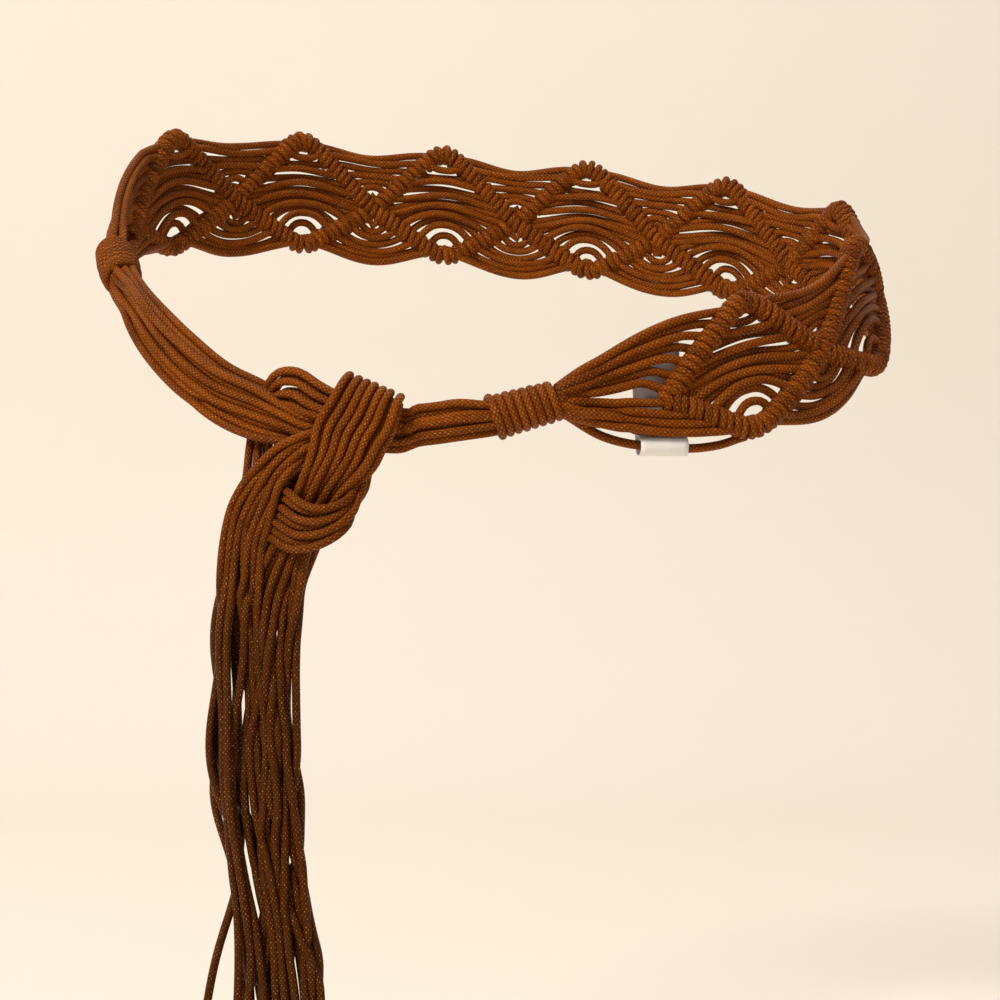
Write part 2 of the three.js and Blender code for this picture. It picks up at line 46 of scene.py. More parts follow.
# Cord, waist and belt line, in millimetres and degrees of bearing from the front
CORD = 2.8
LOOSE_CORD = 3.04  # where nothing pulls it tight
TUBE_SIDES = 10
WAIST_WIDTH = 272.0
WAIST_DEPTH = 188.0
FLARE_SIDE = 32.0
FLARE_FRONT = 14.0
FLARE_TOP = 40.0
FLARE_HEIGHT = 180.0
SLING = 52.0
# Height of the band's middle line: bearing and share of the sling
BELT_LINE = [
    (-104, 0.79), (-92, 0.57), (-82, 0.36), (-72.5, 0.16), (-64, -0.04), (-55.5, -0.28),
    (-44.5, -0.59), (-33, -0.88), (-22, -1.0), (-12, -0.97), (0, -0.94), (9, -0.83),
    (23, -0.67), (37, -0.58), (50.5, -0.39), (64, -0.17), (72, -0.06), (90, 0.15),
    (120, 0.46), (150, 0.73), (180, 0.91), (210, 1.0), (235, 0.97), (256, 0.79),
]

# The openwork band
DIAMONDS = 8
BAND_START = 23.8
BAND_END = 262.0
BAND_HEIGHT = 51.0
BAND_OUT = 4.3
WEB_OUT = BAND_OUT - 0.6  # the web cords run a little nearer to the waist than the bars
BAR = 8.0
BAR_CORE_RADIUS = 1.9
HITCH_RADIUS = 2.75  # from the middle of a bar to the middle of the cord wound on it
CROSSING_DROP = 5.0  # of the bars' crossings below the middle line
FIRST_DROP = 8.5  # the same at the ends of the band
# A web cord's height where it meets a bar, inside a diamond (upper and lower half) and between
WEB_CORDS = [
    (0.07, 0.06, 0.03, 0.31), (0.21, 0.19, 0.10, 0.43), (0.36, 0.32, 0.18, 0.55),
    (0.50, 0.44, 0.28, 0.67), (0.64, 0.55, 0.40, 0.79), (0.79, 0.68, 0.58, 0.90),
    (0.93, 0.87, 0.85, 1.01),
]

# Fans: shares of the way to the bar where the cords come free of the wrap, curve and part
FAN_FREE = 0.2
FAN_CURVES = 0.56
FAN_PARTS = 0.62
# Above its middle a fan's cords keep close to the top one and arch. Below it the first cord runs
# alone and the others sag. Both halves lie in two layers, in millimetres out from the web
FAN_CLOSE = 0.82
FAN_ARCH = 1.0
LAYERS_ABOVE = (0.5, -0.5)
FAN_BELOW = (0.0, 0.44, 0.46, 0.6, 0.73, 0.87, 1.0)
FAN_SAG = 1.6
LAYERS_BELOW = (1.5, -2.3)

# Wraps: bearing, distance out and which side of the knot
RIGHT_WRAP = (4.5, 7.0, 1)
LEFT_WRAP = (-73.5, 3.5, -1)
WRAP_TURNS = 9
WRAP_DIAMETER = 15.4
BUNDLE_WIDTH = 17.0
BUNDLE_START = 11.0  # degrees from the middle of the knot
WAIST_GAP = 6.0  # from the waist to the middle of a bundle near the knot

# Knot and fringe
KNOT_AT = -22.0
KNOT_DROP = 9.0
KNOT_SPAN = 60.0
FRINGE_LENGTH = 167.0
# Edges of each group of cords through the knot: right, up and out in hundredths of its span
OVER_WRAP = [
    ((-9, 20, 14), (-9, 6, 14)), ((7, 20, 9), (13, 4, 9)), ((8, 29, 9), (31, 13, 9)),
    ((9, 38, 11), (41, 24, 11)), ((11, 42, 18), (43, 28, 18)), ((9, 39, 26), (41, 25, 26)),
    ((2, 27, 29), (38, 11, 28)), ((-4, 17, 29), (34, 3, 28)), ((-7, 2, 28), (26, -8, 26)),
    ((-13, -17, 22), (12, -21, 22)), ((-20, -33, 15), (3, -32, 15)), ((-27, -50, 12), (-7, -50, 12)),
]
LEFT_BUNDLE_END = [((-35, 39, 12), (-45, 11, 12)), ((-20, 28, 14), (-23, 7, 14))]
BEHIND_LOOP = [
    ((45, 23, 12), (43, 13, 12)), ((27, 27, 17), (25, 17, 17)), ((12, 30, 19), (3, 19, 19)),
    ((-2, 38, 19), (-11, 21, 19)), ((-15, 47, 17), (-19, 24, 17)), ((-27, 47, 13), (-26, 24, 13)),
    ((-35, 38, 7), (-28, 18, 7)), ((-42, 23, 4), (-27, 10, 4)), ((-45, 7, 4), (-26, 0, 4)),
    ((-47, -13, 7), (-27, -13, 5)),
]
UNDER_LOOP = [
    ((43, 13, 12), (42, 3, 12)), ((27, 12, 14), (27, 0, 14)), ((18, -2, 13), (24, -8, 13)),
    ((17, -15, 15), (20, -18, 15)), ((13, -22, 21), (15, -29, 21)), ((9, -27, 28), (12, -40, 27)),
    ((0, -29, 33), (0, -50, 29)), ((-10, -27, 31), (-15, -54, 28)), ((-20, -20, 25), (-26, -51, 22)),
    ((-25, -16, 15), (-32, -45, 13)), ((-20, -10, 5), (-23, -32, 5)), ((-7, -3, 5), (-5, -15, 5)),
    ((5, -2, 8), (5, -12, 8)), ((8, 0, 15), (8, -10, 15)), ((2, 5, 20), (0, -5, 20)),
    ((-6, 11, 22), (-8, 2, 22)), ((-15, 9, 24), (-15, -6, 24)), ((-25, 4, 25), (-22, -15, 26)),
    ((-36, -5, 22), (-27, -27, 23)), ((-46, -15, 19), (-30, -41, 20)), ((-54, -29, 17), (-34, -52, 18)),
]
# How the cords share the width of the loop round the bottom of the knot
UNDER_LOOP_SHARES = (0.04, 0.17, 0.35, 0.5, 0.65, 0.8, 0.95)
# Fringe: drop as a share of its length, left edge, slit and right edge
FRINGE = [
    (0.11, -61, -36, -12), (0.3, -64, -34, -19), (0.46, -64, -32, -17), (0.6, -56, -29, -14),
    (0.74, -51, -25, -9), (0.9, -49, -23, -6), (1.0, -51, -22, -7),
]
FRINGE_LOOSENESS = [1.0, 1.5, 1.9, 2.1, 2.1, 2.2, 2.3]  # at each of these drops

# Slack cord: bearing and depth below the belt line as a share of the band's height
SLACK_CORD = [
    (11, 0.14), (15, 0.3), (19.5, 0.41), (23.6, 0.46), (27.5, 0.5), (32, 0.5), (35, 0.48),
]
LABEL_AT = 23.6
LABEL_WIDTH = 16.5
LABEL_RISE = 36.0  # from the fold up behind the fan
LABEL_FOLD = 3.7  # outer radius
LABEL_ROOM = 2.0  # for both leaves of the label behind the bars
LABEL_GAP = 0.9
SATIN = 0.45
SLACK_OUT = BAND_OUT - BAR / 2 - LABEL_GAP - LABEL_ROOM + LABEL_FOLD

# Lamps: name, place and diameter in metres, watts and tint
LAMPS = [
    ("key", (-1.5, -1.7, 2.0), 0.9, 80, (1.0, 0.94, 0.86)),
    ("fill", (2.2, -2.4, 0.3), 2.0, 8, (1.0, 0.97, 0.93)),
    ("top", (0.2, 0.4, 2.6), 2.4, 20, (1.0, 0.98, 0.95)),
]


def lerp(low, high, share):
    return low + (high - low) * share


def unit(vectors):
    return vectors / np.linalg.norm(vectors, axis=-1, keepdims=True)


def along(points):
    """Distance along a route at each of its points."""
    return np.concatenate([[0], np.cumsum(np.linalg.norm(np.diff(points, axis=0), axis=1))])


def through(table, at):
    """A smooth line through a table of (position, value) rows; values may be points."""
    x = np.array([row[0] for row in table], float)
    y = np.array([row[1] for row in table], float)
    y = y.reshape(len(x), -1)
    step = np.diff(x)[:, None]
    slope = np.diff(y, axis=0) / step
    tangent = np.concatenate([slope[:1], (slope[1:] + slope[:-1]) / 2, slope[-1:]])
    at = np.atleast_1d(np.asarray(at, float))
    i = np.clip(np.searchsorted(x, at, side="right") - 1, 0, len(x) - 2)
    p = ((at - x[i]) / step[i, 0])[:, None]
    found = y[i] * (2 * p**3 - 3 * p**2 + 1) + tangent[i] * step[i] * (p**3 - 2 * p**2 + p)
    found += y[i + 1] * (3 * p**2 - 2 * p**3) + tangent[i + 1] * step[i] * (p**3 - p**2)
    return found[:, 0] if found.shape[1] == 1 else found


# Distance round the waist against bearing
turn = np.linspace(0, 360, 721)
rim = np.stack([
    WAIST_WIDTH / 2 * np.cos(np.radians(turn - 90)),
    WAIST_DEPTH / 2 * np.sin(np.radians(turn - 90)),
], axis=1)
rim_length = along(rim)


def arc_at(bearing):
    turns = np.floor(np.asarray(bearing) / 360)
    return turns * rim_length[-1] + np.interp(bearing - 360 * turns, turn, rim_length)


def bearing_at(arc):
    turns = np.floor(np.asarray(arc) / rim_length[-1])
    return 360 * turns + np.interp(arc - turns * rim_length[-1], rim_length, turn)


def line_height(bearing):
    first = BELT_LINE[0][0]
    return SLING * through(BELT_LINE, first + np.mod(np.asarray(bearing) - first, 360))


def on_waist(bearing, height, out):
    """Points on the flared waist at a bearing and height, moved straight out."""
    bearing, height, out = np.broadcast_arrays(
        *(np.atleast_1d(np.asarray(v, float)) for v in (bearing, height, out))
    )
    angle = np.radians(bearing - 90)
    flat = np.stack([WAIST_WIDTH / 2 * np.cos(angle), WAIST_DEPTH / 2 * np.sin(angle)], axis=1)
    outward = unit(np.stack([np.cos(angle) / WAIST_WIDTH, np.sin(angle) / WAIST_DEPTH], axis=1))
    down = np.clip((FLARE_TOP - height) / FLARE_HEIGHT, 0, 1)
    flare = lerp(FLARE_FRONT, FLARE_SIDE, np.cos(angle) ** 2) * down**2 * (3 - 2 * down)
    flat = flat + outward * (out + flare)[:, None]
    return np.column_stack([flat, height])


def on_belt(arc, across, out):
    """Points beside the band's middle line, by distance along it."""
    bearing = bearing_at(np.atleast_1d(arc))
    return on_waist(bearing, line_height(bearing) + across, out)


band_start = float(arc_at(BAND_START))
band_length = float(arc_at(BAND_END)) - band_start
cell = band_length / DIAMONDS
half_height = (BAND_HEIGHT - BAR) / 2
wrap_length = WRAP_TURNS * CORD
bore = WRAP_DIAMETER / 2 - CORD  # radius of the room inside a wrap

knot_height = float(line_height(KNOT_AT)[0]) - KNOT_DROP
knot_back = on_waist(KNOT_AT, knot_height, 0)[0]
knot_reach = knot_back[0] / math.sin(math.radians(KNOT_AT))


def on_knot(place):
    """A point of the knot: right, up and out from the waist behind its middle."""
    right, up, out = (value * KNOT_SPAN / 100 for value in place)
    x = knot_back[0] + right
    height = knot_height + up
    bearing = math.degrees(math.asin(max(-1, min(1, x / knot_reach))))
    return np.array([x, on_waist(bearing, height, 0)[0, 1] - out, height])


def colour(hex_value):
    """An sRGB hex colour as a linear one."""
    channels = [int(hex_value[i:i + 2], 16) / 255 for i in (0, 2, 4)]
    linear = [c / 12.92 if c <= 0.04045 else ((c + 0.055) / 1.055) ** 2.4 for c in channels]
    return (*linear, 1)


def add(material, kind, inputs=None, **settings):
    """One shader node with its settings; each input is a value or another node's output."""
    tree = material.node_tree
    made = tree.nodes.new(kind)
    for name, value in settings.items():
        setattr(made, name, value)
    for socket, value in (inputs or {}).items():
        if isinstance(value, bpy.types.NodeSocket):
            tree.links.new(value, made.inputs[socket])
        else:
            made.inputs[socket].default_value = value
    return made


def new_material(name):
    material = bpy.data.materials.new(name)
    material.use_nodes = True
    material.node_tree.nodes.clear()
    return material


def finish_material(material, shader):
    add(material, "ShaderNodeOutputMaterial", {"Surface": shader.outputs["BSDF"]})


def waxed_cotton(name):
    """Cotton braided round a core and drawn through wax: yarns cross in lozenges 1.7 mm long."""
    PLAITS = 6  # lozenges round the cord
    PITCH = 0.0017  # metres along the cord
    material = new_material(name)
    lay = add(material, "ShaderNodeUVMap", uv_map="lay").outputs["UV"]
    yarns = []
    for lean in (1, -1):
        phase = add(
            material, "ShaderNodeVectorMath",
            {0: lay, 1: (PLAITS * math.pi, lean * math.pi / PITCH, 0)}, operation="DOT_PRODUCT",
        )
        yarns.append(add(material, "ShaderNodeMath", {0: phase.outputs["Value"]}, operation="SINE"))
    crossing = add(
        material, "ShaderNodeMath",
        {0: yarns[0].outputs[0], 1: yarns[1].outputs[0]}, operation="MULTIPLY",
    )
    lozenge = add(material, "ShaderNodeMath", {0: crossing.outputs[0]}, operation="ABSOLUTE")
    # Dye and wax lie unevenly: patches about 30 mm long down a cord, and flecks under 1 mm
    stretched = add(material, "ShaderNodeMapping", {"Vector": lay, "Scale": (1.2, 35, 1)})
    patches = add(
        material, "ShaderNodeTexNoise",
        {"Vector": stretched.outputs[0], "Scale": 1.0, "Detail": 4, "Roughness": 0.65},
    )
    place = add(material, "ShaderNodeTexCoord").outputs["Object"]
    flecks = add(
        material, "ShaderNodeTexNoise",
        {"Vector": place, "Scale": 1300, "Detail": 2, "Roughness": 0.6},
    )
    worn = add(
        material, "ShaderNodeMapRange",
        {"Value": patches.outputs["Fac"], "From Min": 0.32, "From Max": 0.68},
    )
    dye = add(
        material, "ShaderNodeMix",
        {"Factor": worn.outputs[0], "A": colour("984a00"), "B": colour("622900")},
        data_type="RGBA",
    )
    # Painted shade: the colour darkens towards the bottom, down the hanging ends, standing in for the
    # shade that falls on them
    height = add(material, "ShaderNodeSeparateXYZ", {"Vector": place})
    hem = add(
        material, "ShaderNodeMapRange",
        {"Value": height.outputs["Z"], "From Min": -0.04, "From Max": -0.14, "To Max": 0.85},
        interpolation_type="SMOOTHSTEP",
    )
    shaded_towards_hem = add(
        material, "ShaderNodeMix",
        {"Factor": hem.outputs[0], "A": dye.outputs["Result"], "B": colour("331300")},
        data_type="RGBA",
    )
    frayed = add(
        material, "ShaderNodeMath",
        {0: flecks.outputs["Fac"], 1: 1.0, 2: lozenge.outputs[0]}, operation="MULTIPLY_ADD",
    )
    # Painted shade: the grooves between the yarns are painted darker, towards 331200, as the shade that
    # falls in them
    depth = add(
        material, "ShaderNodeMapRange",
        {"Value": frayed.outputs[0], "From Min": 0.35, "From Max": 0.95, "To Min": 0.1},
    )
    tone = add(
        material, "ShaderNodeMix",
        {"Factor": depth.outputs[0], "A": colour("331200"), "B": shaded_towards_hem.outputs["Result"]},
        data_type="RGBA",
    )
    # Painted highlights: the proudest yarns are painted paler, towards cf9048, as glints on their wax;
    # their wax is also polished, with lower roughness, so that it glints
    painted_glint = add(
        material, "ShaderNodeMapRange",
        {"Value": frayed.outputs[0], "From Min": 1.4, "From Max": 1.6, "To Max": 0.9},
    )
    tone_with_painted_glints = add(
        material, "ShaderNodeMix",
        {"Factor": painted_glint.outputs[0], "A": tone.outputs["Result"], "B": colour("cf9048")},
        data_type="RGBA",
    )
    shine = add(
        material, "ShaderNodeMapRange",
        {"Value": frayed.outputs[0], "From Min": 1.05, "From Max": 1.6,
         "To Min": 0.6, "To Max": 0.24},
    )
    relief = add(
        material, "ShaderNodeBump",
        {"Strength": 0.8, "Distance": 0.00028, "Height": frayed.outputs[0]},
    )
    shader = add(
        material, "ShaderNodeBsdfPrincipled",
        {"Base Color": tone_with_painted_glints.outputs["Result"], "Roughness": shine.outputs[0],
         "Normal": relief.outputs[0], "Specular IOR Level": 0.26,
         "Specular Tint": colour("ffc890")},
    )
    finish_material(material, shader)
    return material


def satin_ribbon(name):
    """Woven polyester satin: white, with a soft sheen from the long floats of its threads."""
    material = new_material(name)
    place = add(material, "ShaderNodeTexCoord").outputs["Object"]
    # Threads across, 0.2 mm apart: about twice as coarse as real ones, which wouldn't show
    threads = add(
        material, "ShaderNodeTexWave",
        {"Vector": place, "Scale": 1600, "Distortion": 0.6, "Detail": 1},
        wave_type="BANDS", bands_direction="Z",
    )
    relief = add(
        material, "ShaderNodeBump",
        {"Strength": 0.25, "Distance": 0.0001, "Height": threads.outputs["Fac"]},
    )
    cloudy = add(material, "ShaderNodeTexNoise", {"Vector": place, "Scale": 180, "Detail": 2})
    tone = add(
        material, "ShaderNodeMix",
        {"Factor": cloudy.outputs["Fac"], "A": colour("d8d4d2"), "B": colour("f4f1ef")},
        data_type="RGBA",
    )
    shader = add(
        material, "ShaderNodeBsdfPrincipled",
        {"Base Color": tone.outputs["Result"], "Roughness": 0.32, "Normal": relief.outputs[0],
         "Sheen Weight": 0.3, "Sheen Roughness": 0.3, "Anisotropic": 0.4},
    )
    finish_material(material, shader)
    return material


def painted_board(name):
    """Matt emulsion paint on a studio sweep: pale cream with a faint unevenness."""
    material = new_material(name)
    place = add(material, "ShaderNodeTexCoord").outputs["Object"]
    cloudy = add(material, "ShaderNodeTexNoise", {"Vector": place, "Scale": 3, "Detail": 3})
    tone = add(
        material, "ShaderNodeMix",
        {"Factor": cloudy.outputs["Fac"], "A": colour("efe8de"), "B": colour("f2ece3")},
        data_type="RGBA",
    )
    shader = add(
        material, "ShaderNodeBsdfPrincipled",
        {"Base Color": tone.outputs["Result"], "Roughness": 0.9},
    )
    finish_material(material, shader)
    return material


def mesh_of(shape, name):
    """A finished bmesh as a mesh."""
    mesh = bpy.data.meshes.new(name)
    shape.to_mesh(mesh)
    shape.free()
    return mesh


def add_object(name, mesh, finish):
    """A smooth object of one material, at the origin."""
    mesh.materials.append(finish)
    mesh.polygons.foreach_set("use_smooth", np.ones(len(mesh.polygons), bool))
    made = bpy.data.objects.new(name, mesh)
    scene.collection.objects.link(made)
    return made


def cord_piece(name, routes):
    """Cords as closed tubes along routes of (points, radius, and metres of cord before it)."""
    curve = bpy.data.curves.new(name, "CURVE")
    curve.dimensions = "3D"
    curve.bevel_depth = MM
    curve.bevel_resolution = TUBE_SIDES // 2 - 2
    curve.use_fill_caps = True
    for points, radius, *_ in routes:
        spline = curve.splines.new("POLY")
        spline.points.add(len(points) - 1)
        spline.points.foreach_set("co", np.column_stack([points * MM, np.ones(len(points))]).ravel())
        spline.points.foreach_set("radius", np.broadcast_to(radius, len(points)).astype(float).copy())
    pattern = bpy.data.objects.new(name, curve)
    scene.collection.objects.link(pattern)
    mesh = bpy.data.meshes.new_from_object(
        pattern.evaluated_get(bpy.context.evaluated_depsgraph_get())
    )
    bpy.data.objects.remove(pattern)
    bpy.data.curves.remove(curve)
    lay_along(mesh, routes)
    shape = bmesh.new()
    shape.from_mesh(mesh)
    bmesh.ops.remove_doubles(shape, verts=shape.verts, dist=1e-7)
    shape.to_mesh(mesh)
    shape.free()
    mesh.name = name
    piece = add_object("cords_" + name, mesh, cord_finish)
    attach(piece, "root")
    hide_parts(name)


def lay_along(mesh, routes):
    """Makes each tube's UV map give turns round the cord and metres along it.

    Blender puts the end caps first, from the last tube to the first, and then the walls."""
    layer = mesh.uv_layers[0]
    layer.name = "lay"
    uv = np.empty(len(mesh.loops) * 2)
    layer.data.foreach_get("uv", uv)
    uv = uv.reshape(-1, 2)[:, ::-1].copy()
    walls = [(len(route[0]) - 1) * TUBE_SIDES * 4 for route in routes]
    ends = [(TUBE_SIDES - 2) * 6] * len(routes)
    if sum(walls) + sum(ends) != len(uv):
        raise ValueError("tube faces do not add up")

    def spread(values):
        return np.concatenate([np.repeat(values[::-1], ends), np.repeat(values, walls)])

    lengths = np.array([along(route[0])[-1] * MM for route in routes])
    before = np.array([route[2] if len(route) > 2 else rng.uniform(0, 5) for route in routes])
    uv[:, 1] = uv[:, 1] * spread(lengths) + spread(before)
    layer.data.foreach_set("uv", uv.ravel())


def frames(points, toward):
    """Two unit vectors square to a route and to each other, the first of them toward one side."""
    tangent = unit(np.gradient(points, axis=0))
    side = unit(toward - (toward * tangent).sum(axis=1, keepdims=True) * tangent)
    return side, np.cross(tangent, side)


def coil(points, toward, radius, pitch, per_turn=11, pairing=0.0, start=0.0):
    """A cord wound round a route from a start angle; pairing draws its turns together in twos."""
    lengths = along(points)
    side, outward = frames(points, toward)
    turns = max(1, round(lengths[-1] / pitch))
    at = np.linspace(0, lengths[-1], turns * per_turn + 1)
    angle = 2 * math.pi * at / lengths[-1] * turns
    angle = start + angle + pairing * np.sin(angle / 2)

    def sampled(values):
        return np.stack([np.interp(at, lengths, column) for column in values.T], axis=1)

    radius = np.interp(at, lengths, np.broadcast_to(radius, len(points)))[:, None]
    turned = sampled(side) * np.cos(angle)[:, None] + sampled(outward) * np.sin(angle)[:, None]
    return sampled(points) + turned * radius


def bar_share(cells):
    """How far a bar is from the crossings (0) to its turn at the edge of the band (1)."""
    ROUNDING = 0.14
    to_turn = np.abs(cells - np.floor(cells) - 0.5) * 2
    return np.clip((1 - np.sqrt(to_turn**2 + ROUNDING**2)) / (1 - ROUNDING), 0, 1)


def drop_at(cells):
    """How far the crossings lie below the band's middle line."""
    from_end = np.minimum(cells, DIAMONDS - cells)
    return lerp(FIRST_DROP, CROSSING_DROP, np.clip(from_end, 0, 1))


def bar_route(side, cells):
    """The middle of the zigzag bar that starts out on one side of the middle line."""
    turned = np.where(np.floor(cells) % 2 == 1, -side, side)
    share = bar_share(cells)
    across = turned * half_height * share - drop_at(cells) * (1 - share)
    return on_belt(band_start + cells * cell, across, BAND_OUT)


def up_at(points):
    return np.broadcast_to([0.0, 0.0, 1.0], points.shape)


def knotted_bars():
    """Two zigzags of double half hitches. The rising bar runs over each crossing."""
    OVERLAP = 0.045  # cells between a crossing and the end of the bar that goes under it
    SAMPLES = 90  # to a cell
    WOBBLE = 0.14
    PAIRING = 0.45  # the two turns of a double half hitch lie closer together than to the next
    routes = []
    for side in (1, -1):
        stops = [0.0]
        for crossing in range(1, DIAMONDS):
            rising = (side > 0) == (crossing % 2 == 0)
            if not rising:
                stops += [crossing - OVERLAP, crossing + OVERLAP]
        stops.append(float(DIAMONDS))
        for low, high in zip(stops[::2], stops[1::2]):
            points = bar_route(side, np.linspace(low, high, int((high - low) * SAMPLES)))
            wobble = np.sin(np.linspace(0, 9 * (high - low), len(points)) + rng.uniform(0, 6))
            radius = HITCH_RADIUS + WOBBLE * wobble
            wound = coil(points, up_at(points), radius, CORD, pairing=PAIRING)
            routes.append((wound, CORD / 2 + 0.03))
            routes.append((points[::2], BAR_CORE_RADIUS))
    return routes


def web_cord(row, half, index):
    """A loose cord along the whole band, flat inside and between diamonds, steep at the bars."""
    SAMPLES = 300  # keeps the band's piece under 200,000 triangles
    at_bar, inside_up, inside_down, between = row
    inside = inside_up if half > 0 else inside_down
    cells = np.linspace(at_bar / 2, DIAMONDS - at_bar / 2, SAMPLES)
    from_crossing = np.abs(cells - np.round(cells)) * 2
    near = np.clip(from_crossing / at_bar, 0, 1) ** 2.4
    far = np.clip((1 - from_crossing) / (1 - at_bar), 0, 1) ** 2.6
    bend = np.where(
        from_crossing < at_bar, lerp(between, at_bar, near), lerp(inside, at_bar, far),
    )
    dip = (1 + np.cos(math.pi * from_crossing)) / 2
    sway = 0.3 * np.sin(cells * 5.1 + 1.7 * index) + 0.2 * np.sin(cells * 11.3 + 2.9 * index)
    across = half * half_height * bend - drop_at(cells) * dip + sway
    out = WEB_OUT + 1.25 * (-1) ** index * np.clip(1.6 * from_crossing - 0.3, 0.25, 1)
    return on_belt(band_start + cells * cell, across, out - 0.5 * np.roll(sway, 6))


def openwork_band():
    routes = knotted_bars()
    for half, first in ((1, 0), (-1, len(WEB_CORDS))):
        for index, row in enumerate(WEB_CORDS, first):
            routes.append((web_cord(row, half, index), LOOSE_CORD / 2))
    return routes


def wrap_axis(place):
    bearing, out, _ = place
    arc = float(arc_at(bearing))
    middle = on_belt(arc, 0, out)[0]
    direction = unit(on_belt(arc + 1, 0, out)[0] - on_belt(arc - 1, 0, out)[0])
    return middle, direction


def wrap_end(place, side, beyond):
    middle, direction = wrap_axis(place)
    return middle + direction * side * (wrap_length / 2 + beyond)


def gathered(place, swell):
    """A cord whipped round the gathered cords; swell gives its share of the full radius."""
    TUCK = 1.2  # the ends of the cord go under their neighbours
    share = np.linspace(0, 1, 60)
    start, end = wrap_end(place, -1, -CORD / 2), wrap_end(place, 1, -CORD / 2)
    points = lerp(start, end, share[:, None])
    radius = (WRAP_DIAMETER - CORD) / 2 * swell(share) * (1 + 0.012 * np.sin(31 * share))
    radius -= TUCK * np.clip(1 - 30 * np.minimum(share, 1 - share), 0, 1)
    wound = coil(points, up_at(points), radius, CORD * 0.98, per_turn=26, start=-math.pi / 2)
    return [(wound, CORD / 2 + 0.05), (points, float(bore) * 0.92)]


def eased(places, home, hold, ease):
    """Draws pushed cords a little way home and evens out their bends."""
    places = places + hold * (home - places)
    middle = (places[:-2] + places[2:]) / 2
    places[1:-1] += ease * (middle - places[1:-1])
    return places


def settle(sections):
    """Pushes cords apart in every cross-section, so that they share as little room as they can."""
    ROUNDS = 80
    home = sections.copy()
    apart = np.eye(sections.shape[1])[None] * FAR
    for _ in range(ROUNDS):
        gap = sections[:, :, None] - sections[:, None]
        away = np.linalg.norm(gap, axis=3) + apart
        push = np.clip(CORD - away, 0, None) / away
        sections = sections + 0.35 * (gap * push[..., None]).sum(axis=2)
        sections = eased(sections, home, hold=0.06, ease=0.35)
    return sections


def settle_fan(arcs, places):
    """Pushes a fan's cords apart where one is nearer to another than it is thick.

    The cords end at different places on the bars, so samples are compared by nearness."""
    ROUNDS = 40
    home = places.copy()
    cords = np.arange(arcs.shape[1])
    apart = np.eye(len(cords))[None] * FAR
    for _ in range(ROUNDS):
        points = np.concatenate([arcs[..., None], places], axis=2)
        away = np.linalg.norm(points[:, :, None, None] - points[None, None], axis=4)
        gap = points[:, :, None] - points[away.argmin(axis=2), cords]
        away = np.linalg.norm(gap, axis=3) + apart
        push = np.clip(LOOSE_CORD - away, 0, None) / away
        places = places + 0.4 * (gap[..., 1:] * push[..., None]).sum(axis=2)
        places = eased(places, home, hold=0.04, ease=0.3)
        places[..., 1] = np.maximum(places[..., 1], LOOSE_CORD / 2)  # they lie on the waist
    return places


def fan(place):
    """Fourteen cords that spread from the wrap's mouth to their places on the first bars."""
    bearing, wrap_out, side = place
    band_end = band_start if side > 0 else band_start + band_length
    mouth = float(arc_at(bearing if side > 0 else bearing + 360)) + side * (wrap_length / 2 - CORD)
    u = np.linspace(0, 1, 60)
    rise = np.sin(u * math.pi / 2)
    hook = np.sin(math.pi * np.clip((u - FAN_CURVES) / (1 - FAN_CURVES), 0, 1)) ** 2
    near = np.clip(1 - 2.2 * u, 0, 1) ** 1.5
    parting = np.clip((u - FAN_PARTS) / (1 - FAN_PARTS), 0, 1) ** 1.6
    arcs, home = [], []
    for half in (1, -1):
        for index, (at_bar, *_) in enumerate(WEB_CORDS):
            end = band_end + side * at_bar * cell / 2
            if half > 0:
                close = 1 - FAN_CLOSE * (1 - at_bar)
                bow = FAN_ARCH
                layer = LAYERS_ABOVE[index % 2]
            else:
                close = FAN_BELOW[index]
                bow = -FAN_SAG * min(index, 1)
                layer = LAYERS_BELOW[index % 2]
            place_at = lerp(close, at_bar, parting)
            height = half * half_height * place_at - FIRST_DROP * (1 - place_at)
            across = lerp(half * at_bar * bore * 0.9, height, rise)
            across = across + bow * (1 - at_bar**4) * hook
            depth = (-1) ** index * bore * 0.62 * math.sqrt(1 - 0.8 * at_bar**2)
            out = lerp(WEB_OUT + layer, wrap_out + depth, near)
            arcs.append(lerp(mouth, end, u))
            home.append(np.stack([across, out], axis=1))
    home = np.stack(home, axis=1)
    free = np.clip(u / FAN_FREE, 0, 1)[:, None, None]  # in the wrap they are squeezed together
    places = lerp(home, settle_fan(np.stack(arcs, axis=1), home), free)
    return [
        (on_belt(arc, places[:, cord, 0], places[:, cord, 1]), LOOSE_CORD / 2)
        for cord, arc in enumerate(arcs)
    ]


def drift(count, samples):
    """Slow random sway for each cord, of about one unit."""
    u = np.linspace(0, 1, samples)[:, None]
    sway = np.zeros((samples, count))
    for wave in range(3, 12):
        sway += rng.normal(0, 0.45, count) * np.sin(wave * math.pi * u + rng.uniform(0, 6.3, count))
    return sway


